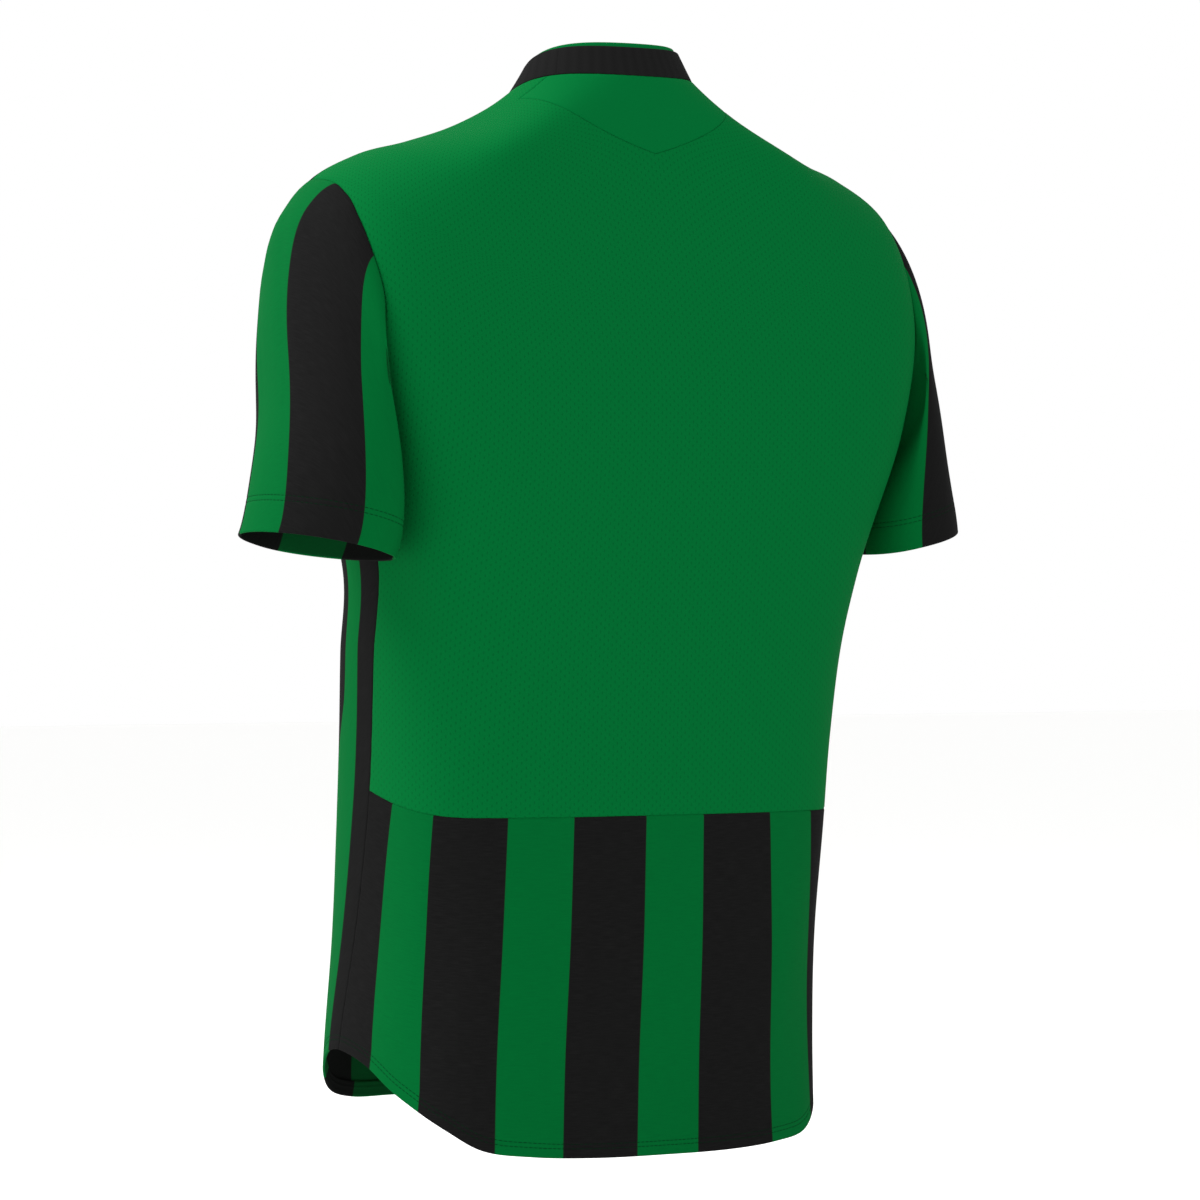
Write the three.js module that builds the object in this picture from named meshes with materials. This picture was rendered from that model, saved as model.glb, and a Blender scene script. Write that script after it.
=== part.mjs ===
// Football jersey, worn and filled out with nobody in it.
// Millimetres, +Z up. The front faces -Y and the wearer's left is +X.
// The origin is the middle of the neck opening, where the shoulders carry the garment.
import * as THREE from 'three';

// Driving dimensions
const CLOTH = 1.5;                  // wall of every panel, seams and turned hems taken into account
const SEAM_GAP = 0.3;               // clear gap between two pieces that are sewn together
const BAND_HEIGHT = 21.5;           // collar band, from the neck seam to its top
const BAND_LEAN = 22;               // degrees by which the band leans in to the neck at the back
const BAND_LEAN_FRONT = 48;         // and at the front
const BAND_PROUD = 4;               // height by which the inner collar shows above the band at the back
const BAND_MITRE = 0.4;             // extra clearance at the front, where the band folds in from the panel
const SHOULDER_SEAM = 105;          // degrees from the centre back: the shoulder seam lies forward
const SHOULDER_SEAM_END = 100;      // the same seam where it meets the armhole
const NECK_DOWN = 0;                // places down the body, measured from the neck seam
const YOKE_SIDE_DOWN = 22;
const YOKE_POINT_DOWN = 55;
const YOKE_BOW = 1.7;               // how far the V's arms bow up towards the neck
const ARMHOLE_TOP_DOWN = 172;
const UNDERARM_DOWN = 315;
const FLAT_RING_DOWN = 375;         // from here down the rings are level, at z = LEVEL - down
const LEVEL = 53;
const YOKE_NECK_ANGLE = 63;         // degrees from the centre back to the yoke's upper corner
const YOKE_SIDE_ANGLE = 74;         // and to its lower, outer corner
const LOW_SEAM_Z = -485.5;          // seam between upper and lower back, at the centre
const LOW_SEAM_RISE = 16.5;         // how much it climbs towards the side seams
const LOW_SEAM_TURN = 50;           // degrees where the climb begins
const LOW_SEAM_END = 94;            // and where it ends, at the side seam
const HEM_BACK_Z = -713;            // dropped shirt-tail hem at the back
const HEM_NOTCH_Z = -644;           // top of the curve at the side
const HEM_FRONT_Z = -685;

// Grid: columns of cells over each panel
const YOKE_COLUMNS = 20;
const TONGUE_COLUMNS = 4;           // each side of the yoke, up to the shoulder seam
const FRONT_COLUMNS = 26;
const SLEEVE_ROWS = [0, 0.04, 0.1, 0.18, 0.28, 0.4, 0.52, 0.64, 0.76, 0.88, 1];

const table = (names, rows) => rows.map(row => Object.fromEntries(names.map((name, i) => [name, row[i]])));

// Rings round the body. down: cloth length below the neck seam. half: half the width. back and front:
// depth from mid. boxBack and boxFront: how boxy the ring is. zBack, zSide and zFront: its height there.
// tilt: how much it climbs towards the back as it passes the side.
const RINGS = table(
  ['down', 'half', 'back', 'front', 'mid', 'boxBack', 'boxFront', 'zBack', 'zSide', 'zFront', 'tilt'], [
    [0, 67, 58, 62, 0, 0.00, 0.00, 10, 3.5, -72, 19],
    [30, 86, 65, 70, -2, 0.08, 0.00, -15.5, -11.5, -95, 3],
    [60, 112, 72, 76, -3, 0.14, 0.01, -48, -25, -122, -5],
    [95, 147, 81, 84, -4, 0.12, 0.02, -80.5, -36, -150, -4],
    [135, 183, 92, 91, -5, 0.08, 0.04, -112, -45.5, -175, -2],
    [180, 221, 102, 96, -6, 0.07, 0.05, -150, -68, -204, 0],
    [240, 233, 103, 107, 1, 0.085, 0.06, -200, -130, -250, 0],
    [300, 214, 98, 108, 5, 0.10, 0.07, -250, -215, -283, 0],
    [375, 188, 89, 90, 8, 0.07, 0.072, -322, -322, -322, 0],
    [430, 180, 93, 101, 0, 0.06, 0.072, -377, -377, -377, 0],
    [490, 173, 98, 107, -8, 0.06, 0.072, -437, -437, -437, 0],
    [550, 170, 103, 114, -15, 0.06, 0.064, -497, -497, -497, 0],
    [620, 168, 109, 121, -23, 0.055, 0.055, -567, -567, -567, 0],
    [700, 172, 111, 122, -30, 0.05, 0.05, -647, -647, -647, 0],
    [780, 176, 111, 120, -32, 0.05, 0.05, -727, -727, -727, 0],
  ]);

// Armhole: degrees from the centre back where the back panel and the front panel end
const ARMHOLE = table(
  ['down', 'backEnd', 'frontEnd'], [
    [ARMHOLE_TOP_DOWN, SHOULDER_SEAM_END, SHOULDER_SEAM_END],
    [176, 86, 109],
    [183, 76, 116],
    [195, 68.5, 120.5],
    [212, 62, 123.5],
    [240, 57.5, 122],
    [262, 60.5, 116],
    [282, 66.5, 108],
    [298, 73, 99],
    [308, 78.5, 91],
    [UNDERARM_DOWN, 83.5, 83.5],
  ]);

// Side seam, in degrees from the centre back: it drifts forward on its way to the hem
const SIDE_SEAM = table(
  ['down', 'angle'], [
    [UNDERARM_DOWN, 83.5],
    [375, 86.8],
    [430, 91],
    [485, 93.2],
    [522, 94],
    [700, 103],
    [780, 105],
  ]);

// Hem curve: how far it has climbed from the back hem to the notch
const HEM_BACK = table(
  ['angle', 'climb'], [
    [0, 0], [15, 0.005], [30, 0.04], [44, 0.12], [54, 0.29], [65.5, 0.48], [75.5, 0.65], [86, 0.85], [98, 0.975],
    [104, 1],
  ]);
const HEM_FRONT = table(
  ['angle', 'climb'], [
    [104, 1], [112, 0.93], [122, 0.62], [134, 0.2], [146, 0.03], [160, 0], [180, 0],
  ]);

// Sleeve hem, on the wearer's left: its middle, half sizes, how flat it lies beside the body, its turn,
// and how it climbs outwards and towards the back
const CUFF = { x: 240, y: 21, z: -310, out: 40, inner: 35, flat: 0.7, depth: 59, turn: 15, rise: 0.23, lift: -0.016 };
// Sleeve directions where it leaves the armhole and pull of each end of its lengthwise curves
const SLEEVE_OUT = table(
  ['turn', 'out', 'back', 'down', 'pull'], [
    [0, 0.88, 0.00, -0.48, 150],       // over the shoulder
    [50, 0.76, 0.20, -0.62, 125],
    [90, 0.45, 0.45, -0.78, 115],      // at the back
    [135, 0.36, 0.38, -0.85, 80],
    [180, 0.30, 0.00, -0.95, 60],      // at the underarm
    [225, 0.45, -0.25, -0.86, 70],
    [270, 0.66, -0.22, -0.72, 110],    // at the front
    [310, 0.82, -0.08, -0.56, 140],
    [360, 0.88, 0.00, -0.48, 150],
  ]);
const CUFF_WAY = { out: 0.3, back: -0.25, down: -1, pull: 130 };

// Largest folds of the body, each a soft trough: place, direction, reach and depth
const FOLD_SPREAD = 2.2;            // cloth that a degree round the body takes up
const FOLDS = table(
  ['angle', 'down', 'lean', 'long', 'wide', 'deep'], [
    [-38, 700, 75, 90, 26, 3],
    [60, 640, 80, 110, 24, 2.5],
    [-66, 400, 60, 90, 22, 2.5],
    [70, 405, -60, 80, 20, 2.5],
    [150, 560, 78, 120, 26, 3],
    [-150, 610, 100, 120, 28, 3],
  ]);

// Curves through the rows of a table, with soft slopes
function curve(rows, key, value, x) {
  const xs = rows.map(row => row[key]);
  const ys = rows.map(row => row[value]);
  const last = xs.length - 1;
  if (x <= xs[0]) return ys[0];
  if (x >= xs[last]) return ys[last];
  const step = i => xs[i + 1] - xs[i];
  const rate = i => (ys[i + 1] - ys[i]) / step(i);
  const inner = i => (rate(i - 1) * step(i) + rate(i) * step(i - 1)) / (step(i - 1) + step(i));
  const slope = i => {
    if (last === 1) return rate(0);
    if (i === 0) return 1.5 * rate(0) - 0.5 * inner(1);
    if (i === last) return 1.5 * rate(last - 1) - 0.5 * inner(last - 1);
    return inner(i);
  };
  let i = 0;
  while (x > xs[i + 1]) i += 1;
  const t = (x - xs[i]) / step(i);
  return (2 * t ** 3 - 3 * t ** 2 + 1) * ys[i] + (t ** 3 - 2 * t ** 2 + t) * step(i) * slope(i)
    + (-2 * t ** 3 + 3 * t ** 2) * ys[i + 1] + (t ** 3 - t ** 2) * step(i) * slope(i + 1);
}

const radians = degrees => degrees * Math.PI / 180;
const between = (a, b, t) => a + (b - a) * t;
const steps = count => Array.from({ length: count + 1 }, (unused, i) => i / count);

// Body surface without its folds, at an angle from the centre back towards the wearer's left
function plainBody(angle, down) {
  const ring = name => curve(RINGS, 'down', name, down);
  const a = radians(angle);
  const behind = Math.cos(a) > 0;
  const k = ring(behind ? 'boxBack' : 'boxFront');
  const x = ring('half') * (Math.sin(a) + k * Math.sin(3 * a)) / (1 - k);
  const y = ring('mid') + ring(behind ? 'back' : 'front') * (Math.cos(a) - k * Math.cos(3 * a)) / (1 - k);
  const side = ring('zSide');
  const climb = ring('tilt') * Math.cos(a);
  const rest = ring(behind ? 'zBack' : 'zFront') - side - (behind ? ring('tilt') : -ring('tilt'));
  return new THREE.Vector3(x, y, side + climb + rest * Math.abs(Math.cos(a)) ** (behind ? 2 : 3));
}

function plainNormal(angle, down) {
  const across = plainBody(angle + 0.5, down).sub(plainBody(angle - 0.5, down));
  const up = plainBody(angle, Math.max(down - 1, 0)).sub(plainBody(angle, down + 1));
  return up.cross(across).normalize();
}

// Depth of the folds at a place on the body
function foldDepth(angle, down) {
  let depth = 0;
  for (const fold of FOLDS) {
    const turned = ((angle - fold.angle + 540) % 360) - 180;
    const across = turned * FOLD_SPREAD;
    const below = down - fold.down;
    const lean = radians(fold.lean);
    const along = (across * Math.cos(lean) + below * Math.sin(lean)) / fold.long;
    const off = (-across * Math.sin(lean) + below * Math.cos(lean)) / fold.wide;
    depth += fold.deep * Math.exp(-along * along - off * off);
  }
  return depth;
}

function body(angle, down) {
  const n = plainNormal(angle, down);
  return { p: plainBody(angle, down).addScaledVector(n, -foldDepth(angle, down)), n };
}

// Where the panels end
const lowSeamDown = angle => {
  const climb = Math.max(0, (Math.abs(angle) - LOW_SEAM_TURN) / (LOW_SEAM_END - LOW_SEAM_TURN));
  return LEVEL - LOW_SEAM_Z - LOW_SEAM_RISE * climb ** 2;
};
const hemDown = angle => {
  const turned = Math.abs(((angle + 540) % 360) - 180);
  const behind = turned < HEM_FRONT[0].angle;
  const low = behind ? HEM_BACK_Z : HEM_FRONT_Z;
  const climb = curve(behind ? HEM_BACK : HEM_FRONT, 'angle', 'climb', turned);
  return LEVEL - between(low, HEM_NOTCH_Z, climb);
};
const yokeDown = angle => between(YOKE_SIDE_DOWN, YOKE_POINT_DOWN, (1 - Math.abs(angle) / YOKE_SIDE_ANGLE) ** YOKE_BOW);
const sideAngle = down => curve(SIDE_SEAM, 'down', 'angle', down);
function endAngle(down, panel) {
  if (down < ARMHOLE_TOP_DOWN) return between(SHOULDER_SEAM, SHOULDER_SEAM_END, down / ARMHOLE_TOP_DOWN);
  return down < UNDERARM_DOWN ? curve(ARMHOLE, 'down', panel, down) : sideAngle(down);
}

// Rows that every panel shares at the seams, from the neck down
const YOKE_ROWS = [NECK_DOWN, 11, YOKE_SIDE_DOWN];
const SHOULDER_ROWS = [42, 64, 88, 112, 136, 157, ARMHOLE_TOP_DOWN];
const ARMHOLE_ROWS = [176, 183, 195, 212, 232, 252, 270, 286, 299, 308, UNDERARM_DOWN];
const CHEST_ROWS = [343];
const WAIST_ROWS = steps(4);
const TAIL_ROWS = steps(5);
const UPPER_ROWS = [...YOKE_ROWS, ...SHOULDER_ROWS, ...ARMHOLE_ROWS, ...CHEST_ROWS];
const BLEND_DOWN = 136;             // from here down the rows no longer follow the yoke's V

// A closed wall of cloth from a grid of outer points and normals. Cells that keep() refuses are left
// open, a round grid joins its last column to its first, and open edges draw back from the seam.
function clothWall(name, colour, grid, { round = false, keep = () => true, drawBack = SEAM_GAP / 2 } = {}) {
  const columns = grid[0].length;
  const nodes = grid.flat();
  const cells = [];
  for (let r = 0; r + 1 < grid.length; r += 1) {
    for (let c = 0; c < (round ? columns : columns - 1); c += 1) {
      if (!keep(r, c)) continue;
      const next = (c + 1) % columns;
      cells.push([r * columns + c, (r + 1) * columns + c, (r + 1) * columns + next, r * columns + next]);
    }
  }
  const outward = ([a, b, , d]) => nodes[b].p.clone().sub(nodes[a].p)
    .cross(nodes[d].p.clone().sub(nodes[a].p)).dot(nodes[a].n);
  if (cells.reduce((sum, cell) => sum + outward(cell), 0) < 0) cells.forEach(cell => cell.reverse());

  const faces = cells.flatMap(([a, b, c, d]) => {
    const short = nodes[a].p.distanceTo(nodes[c].p) <= nodes[b].p.distanceTo(nodes[d].p);
    return short ? [[a, b, c], [a, c, d]] : [[a, b, d], [b, c, d]];
  });
  const edges = new Set(faces.flatMap(([a, b, c]) => [`${a} ${b}`, `${b} ${c}`, `${c} ${a}`]));
  const rim = [...edges].map(edge => edge.split(' ').map(Number)).filter(([a, b]) => !edges.has(`${b} ${a}`));

  const inset = new Map();
  for (const [a, b] of rim) {
    const along = nodes[b].p.clone().sub(nodes[a].p).normalize();
    for (const node of [a, b]) {
      const inward = nodes[node].n.clone().cross(along).normalize();
      inset.set(node, [...(inset.get(node) ?? []), inward]);
    }
  }
  const place = (node, depth) => {
    const point = nodes[node].p.clone().addScaledVector(nodes[node].n, -depth);
    const sides = inset.get(node);
    if (!sides) return point;
    const sum = sides.reduce((total, side) => total.add(side), new THREE.Vector3());
    return point.addScaledVector(sum, 2 * drawBack / Math.max(sum.lengthSq(), 1));
  };

  const used = [...new Set(faces.flat())];
  const outer = new Map(used.map((node, i) => [node, i]));
  const points = [...used.map(node => place(node, 0)), ...used.map(node => place(node, CLOTH))];
  const top = node => outer.get(node);
  const under = node => outer.get(node) + used.length;
  const triangles = [
    ...faces.map(([a, b, c]) => [top(a), top(b), top(c)]),
    ...faces.map(([a, b, c]) => [under(c), under(b), under(a)]),
    ...rim.flatMap(([a, b]) => [[top(b), top(a), under(a)], [top(b), under(a), under(b)]]),
  ];
  const geometry = new THREE.BufferGeometry();
  geometry.setAttribute('position', new THREE.Float32BufferAttribute(points.flatMap(p => [p.x, p.y, p.z]), 3));
  geometry.setIndex(triangles.flat());
  geometry.computeVertexNormals();
  const mesh = new THREE.Mesh(geometry, new THREE.MeshStandardMaterial({ color: colour, roughness: 0.85, metalness: 0 }));
  mesh.name = name;
  return mesh;
}

const GREEN = '#00702f';
const BLACK = '#1d1d1d';

// Sleeve. The wearer's left one is worked out, and the right one is its mirror image.
const armholeRows = [ARMHOLE_TOP_DOWN, ...ARMHOLE_ROWS];
const armholePlaces = [
  ...armholeRows.map(down => [endAngle(down, 'backEnd'), down]),
  ...armholeRows.slice(1, -1).reverse().map(down => [endAngle(down, 'frontEnd'), down]),
];
// Turn round the sleeve of each armhole place: 0 over the shoulder, 180 at the underarm
const armholeTurns = (() => {
  const points = armholePlaces.map(([angle, down]) => body(angle, down).p);
  const lengths = points.map((p, i) => p.distanceTo(points[(i + 1) % points.length]));
  const half = armholeRows.length - 1;
  const back = lengths.slice(0, half).reduce((a, b) => a + b, 0);
  const front = lengths.slice(half).reduce((a, b) => a + b, 0);
  let run = 0;
  return points.map((p, i) => {
    const turn = i <= half ? 180 * run / back : 180 + 180 * (run - back) / front;
    run += lengths[i];
    return turn;
  });
})();

function cuffPoint(turn) {
  const a = radians(turn);
  const c = Math.cos(a);
  const out = c > 0 ? CUFF.out * c : -CUFF.inner * (-c) ** CUFF.flat;
  const along = CUFF.depth * Math.sin(a);
  const t = radians(CUFF.turn);
  const x = out * Math.cos(t) - along * Math.sin(t);
  const y = out * Math.sin(t) + along * Math.cos(t);
  return new THREE.Vector3(CUFF.x + x, CUFF.y + y, CUFF.z + CUFF.rise * x + CUFF.lift * y);
}

function sleevePoint(column, t) {
  const [angle, down] = armholePlaces[column];
  const turn = armholeTurns[column];
  const way = name => curve(SLEEVE_OUT, 'turn', name, turn);
  const start = body(angle, down).p;
  const end = cuffPoint(turn);
  const leave = new THREE.Vector3(way('out'), way('back'), way('down')).normalize().multiplyScalar(way('pull'));
  const arrive = new THREE.Vector3(CUFF_WAY.out, CUFF_WAY.back, CUFF_WAY.down).multiplyScalar(CUFF_WAY.pull);
  return start.multiplyScalar(2 * t ** 3 - 3 * t ** 2 + 1)
    .addScaledVector(leave, t ** 3 - 2 * t ** 2 + t)
    .addScaledVector(end, -2 * t ** 3 + 3 * t ** 2)
    .addScaledVector(arrive, t ** 3 - t ** 2);
}

function sleeveNode(column, t) {
  const count = armholePlaces.length;
  const across = sleevePoint((column + 1) % count, t).sub(sleevePoint((column + count - 1) % count, t));
  const along = sleevePoint(column, Math.min(t + 0.02, 1)).sub(sleevePoint(column, Math.max(t - 0.02, 0)));
  return { p: sleevePoint(column, t), n: along.cross(across).normalize() };
}

// At the armhole both pieces share one normal where the cloth runs on smoothly over the seam
const SMOOTH_SEAM = 0.3;            // least cosine of the bend there
const armholeNormals = armholePlaces.map(([angle, down], column) => {
  const own = body(angle, down).n;
  const sleeve = sleeveNode(column, 0).n;
  return own.dot(sleeve) > SMOOTH_SEAM ? own.clone().add(sleeve).normalize() : null;
});

function panelNode(angle, down, side, panel) {
  const node = body(angle, down);
  const row = armholeRows.indexOf(down);
  if (row < 0 || Math.abs(Math.abs(side) - 1) > 1e-9) return node;
  const column = panel === 'backEnd' || row === 0 || row === armholeRows.length - 1
    ? row : armholePlaces.length - row;
  const shared = armholeNormals[column];
  if (shared) node.n = new THREE.Vector3(shared.x * Math.sign(side), shared.y, shared.z);
  return node;
}

function sleeveGrid(mirror) {
  return SLEEVE_ROWS.map(t => armholePlaces.map((place, column) => {
    const node = sleeveNode(column, t);
    if (t === 0 && armholeNormals[column]) node.n = armholeNormals[column].clone();
    const flip = v => new THREE.Vector3(v.x * mirror, v.y, v.z);
    return { p: flip(node.p), n: flip(node.n) };
  }));
}

// Back panels share their columns: the yoke's, and a few more out to the shoulder seam on each side
const yokeColumns = steps(YOKE_COLUMNS).map(t => 2 * t - 1);
const tongueColumns = steps(TONGUE_COLUMNS).slice(1);
const backColumns = [
  ...tongueColumns.map(t => [-1, t]).reverse(),
  ...yokeColumns.map(c => [c, 0]),
  ...tongueColumns.map(t => [1, t]),
];
const yokeShare = YOKE_SIDE_ANGLE / endAngle(YOKE_SIDE_DOWN, 'backEnd');
const columnShare = ([c, t]) => c * between(yokeShare, 1, t);
const yokeEdge = down => between(YOKE_NECK_ANGLE, YOKE_SIDE_ANGLE, Math.min(down / YOKE_SIDE_DOWN, 1));

const firstMainRow = YOKE_ROWS.length - 1;
function backRow(down, index) {
  return backColumns.map(column => {
    const [c, t] = column;
    const end = endAngle(down, 'backEnd');
    if (index < firstMainRow) {
      const angle = c * between(yokeEdge(down), end, t);
      return body(angle, down);
    }
    const share = columnShare(column);
    const angle = share * end;
    const v = t > 0 ? 0 : yokeDown(Math.abs(c) * YOKE_SIDE_ANGLE) - YOKE_SIDE_DOWN;
    const follow = Math.max(0, 1 - (down - YOKE_SIDE_DOWN) / (BLEND_DOWN - YOKE_SIDE_DOWN));
    return panelNode(angle, down + v * follow, share, 'backEnd');
  });
}
const sideRows = (top, foot, rows) => rows.map(row => angle => between(top(angle), foot(angle), row));
const flatRing = () => FLAT_RING_DOWN;
const lowSideDown = lowSeamDown(LOW_SEAM_END);
const levelSeam = () => lowSideDown;

// A row whose height changes with the angle ends on the side seam at the height that it has there
function followingRow(columns, rowDown, panel) {
  let end = LOW_SEAM_END;
  for (let i = 0; i < 20; i += 1) end = sideAngle(rowDown(end));
  return columns.map(share => body(panel(share, end), rowDown(panel(share, end))));
}

const backShares = backColumns.map(columnShare);
const backAngle = (share, end) => share * end;
const upperBackGrid = [
  ...UPPER_ROWS.map(backRow),
  ...sideRows(flatRing, lowSeamDown, WAIST_ROWS).map(row => followingRow(backShares, row, backAngle)),
];
const lowerBackGrid = sideRows(lowSeamDown, hemDown, TAIL_ROWS)
  .map(row => followingRow(backShares, row, backAngle));
const yokeGrid = steps(YOKE_ROWS.length - 1).map(v => yokeColumns.map(c => {
  const angle = c * between(YOKE_NECK_ANGLE, YOKE_SIDE_ANGLE, v);
  return body(angle, v * yokeDown(angle));
}));

// Front panel, from the wearer's left side round to the right
const frontShares = steps(FRONT_COLUMNS).map(t => 1 - 2 * t);
const frontAngle = (share, end) => 180 - share * (180 - end);
const frontGrid = [
  ...UPPER_ROWS.map(down => frontShares.map(share => {
    const side = share > 0 ? 1 : -1;
    return panelNode(frontAngle(share, endAngle(down, 'frontEnd')), down, Math.abs(share) * side, 'frontEnd');
  })),
  ...sideRows(flatRing, levelSeam, WAIST_ROWS).map(row => followingRow(frontShares, row, frontAngle)),
  ...sideRows(levelSeam, hemDown, TAIL_ROWS.slice(1)).map(row => followingRow(frontShares, row, frontAngle)),
];

// Collar: two bands on the neck seam. They share the places where the panels' columns meet the neck.
const neckAngles = [
  ...backColumns.map(([c, t]) => c * between(YOKE_NECK_ANGLE, SHOULDER_SEAM, t)),
  ...frontShares.slice(1, -1).map(share => frontAngle(share, SHOULDER_SEAM)),
];
function bandGrid(inset, low, high) {
  return steps(2).map(v => neckAngles.map(angle => {
    const seam = plainBody(angle, 0);
    const run = plainBody(angle + 1, 0).sub(plainBody(angle - 1, 0)).normalize();
    const out = run.clone().cross(new THREE.Vector3(0, 0, -1)).normalize();
    if (out.dot(new THREE.Vector3(seam.x, seam.y, 0)) < 0) out.negate();
    const lean = radians(between(BAND_LEAN, BAND_LEAN_FRONT, Math.sin(radians(angle) / 2) ** 2));
    const rise = new THREE.Vector3(0, 0, Math.cos(lean)).addScaledVector(out, -Math.sin(lean));
    rise.addScaledVector(run, -rise.dot(run)).normalize();
    const n = run.clone().cross(rise).normalize();
    if (n.dot(out) < 0) n.negate();
    const p = seam.addScaledVector(rise, between(low(angle), high(angle), v)).addScaledVector(n, -inset);
    return { p, n };
  }));
}
const proud = angle => BAND_PROUD * Math.cos(radians(angle) / 2) ** 2;
const bandFoot = angle => SEAM_GAP + BAND_MITRE * Math.sin(radians(angle) / 2) ** 2;
const bandOuter = bandGrid(0, bandFoot, () => BAND_HEIGHT);
const bandInner = bandGrid(CLOTH + SEAM_GAP, bandFoot, angle => BAND_HEIGHT + proud(angle));

const underYoke = (r, c) => r < firstMainRow && c >= TONGUE_COLUMNS && c < TONGUE_COLUMNS + YOKE_COLUMNS;

const jersey = new THREE.Group();
jersey.add(
  clothWall('front', BLACK, frontGrid),
  clothWall('back_upper', GREEN, upperBackGrid, { keep: (r, c) => !underYoke(r, c) }),
  clothWall('back_lower', BLACK, lowerBackGrid),
  clothWall('neck_yoke', GREEN, yokeGrid),
  clothWall('sleeve_left', GREEN, sleeveGrid(1), { round: true, drawBack: SEAM_GAP }),
  clothWall('sleeve_right', GREEN, sleeveGrid(-1), { round: true, drawBack: SEAM_GAP }),
  clothWall('collar_outer', BLACK, bandOuter, { round: true }),
  clothWall('collar_inner', GREEN, bandInner, { round: true }),
);

export default jersey;
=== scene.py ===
"""A football jersey in green and black, worn and filled out with nobody in it."""

import math

import bmesh
import bpy
import numpy as np
from mathutils import Matrix, Vector
from mathutils.kdtree import KDTree


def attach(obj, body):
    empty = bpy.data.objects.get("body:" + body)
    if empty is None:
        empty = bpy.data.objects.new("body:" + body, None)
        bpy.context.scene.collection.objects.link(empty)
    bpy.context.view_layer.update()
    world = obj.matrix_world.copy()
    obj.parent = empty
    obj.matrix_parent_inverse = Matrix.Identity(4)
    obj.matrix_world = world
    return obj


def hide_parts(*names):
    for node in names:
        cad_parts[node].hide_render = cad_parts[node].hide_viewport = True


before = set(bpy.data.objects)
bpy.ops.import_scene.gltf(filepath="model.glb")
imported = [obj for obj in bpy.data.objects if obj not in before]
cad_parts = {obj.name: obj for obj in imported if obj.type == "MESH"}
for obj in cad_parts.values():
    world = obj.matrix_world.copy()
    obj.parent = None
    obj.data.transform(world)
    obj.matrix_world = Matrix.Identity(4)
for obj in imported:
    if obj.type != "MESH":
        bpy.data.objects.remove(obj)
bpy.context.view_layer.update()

# Camera
# A long lens, level with the middle of the garment, behind it and to the wearer's left.
VIEW_AZIMUTH = math.radians(145)
VIEW_DISTANCE = 4.0
VIEW_HEIGHT = -0.342
VIEW_ASIDE = 0.0014                 # the garment hangs a little left of the frame's middle
SENSOR = 36.0
LENS = 176.5

view_back = Vector((math.sin(VIEW_AZIMUTH), -math.cos(VIEW_AZIMUTH), 0))
view_right = Vector((math.cos(VIEW_AZIMUTH), math.sin(VIEW_AZIMUTH), 0))
camera = bpy.data.objects.new("camera", bpy.data.cameras.new("camera"))
camera.data.sensor_width = SENSOR
camera.data.lens = LENS
camera.location = Vector((0, 0, VIEW_HEIGHT)) + view_right * VIEW_ASIDE + view_back * VIEW_DISTANCE
camera.rotation_mode = "QUATERNION"
camera.rotation_quaternion = (-view_back).to_track_quat("-Z", "Y")
camera.data.clip_end = 100
bpy.context.scene.collection.objects.link(camera)
bpy.context.scene.camera = camera

# Upper back
# A plain green panel from the forward shoulder seams to the low back seam, cut from an eyelet knit.
# Overlocked seams join it to the yoke, the sleeves, the front and the lower back, and each edge rolls in.
# Sizes in this script are in millimetres, and MM turns them into the frame's metres.
MM = 0.001
CLOTH = 0.8
SHOULDER_SEAM = 105                 # degrees from the centre back: the seam lies forward
SHOULDER_SEAM_END = 100
YOKE_SIDE_DOWN = 22
YOKE_POINT_DOWN = 55
YOKE_BOW = 1.7
YOKE_NECK_ANGLE = 63
YOKE_SIDE_ANGLE = 74
BLEND_DOWN = 136                    # rows no longer follow the yoke's V from here down
ARMHOLE_TOP_DOWN = 172
UNDERARM_DOWN = 315
FLAT_RING_DOWN = 375                # rings are level from here down, at z = LEVEL - down
LEVEL = 53
LOW_SEAM_Z = -485.5
LOW_SEAM_RISE = 16.5
LOW_SEAM_TURN = 50
LOW_SEAM_END = 94
BACK_HALF = 238                     # half the width of the back, round the body
CELL = 3.8                          # size of the finest cells, apart from those at seams
ARMHOLE_ROWS = 64
SIDE_ROWS = 16                      # rows from the underarm to the first level ring
SEAM_STEPS = np.array([0, 0.35, 0.8, 1.4, 2.4])
SEAM_ROLL = 1.5                     # width over which a sewn edge rolls in, and how deep it goes
SEAM_DEPTH = 0.6
FOLD_BENDS = (30, 60, 90, 120, 150)  # degrees: where the edge of a turned-up hem has its rows


def table(names, rows):
    return {name: np.array(column, float) for name, column in zip(names, zip(*rows))}


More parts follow.
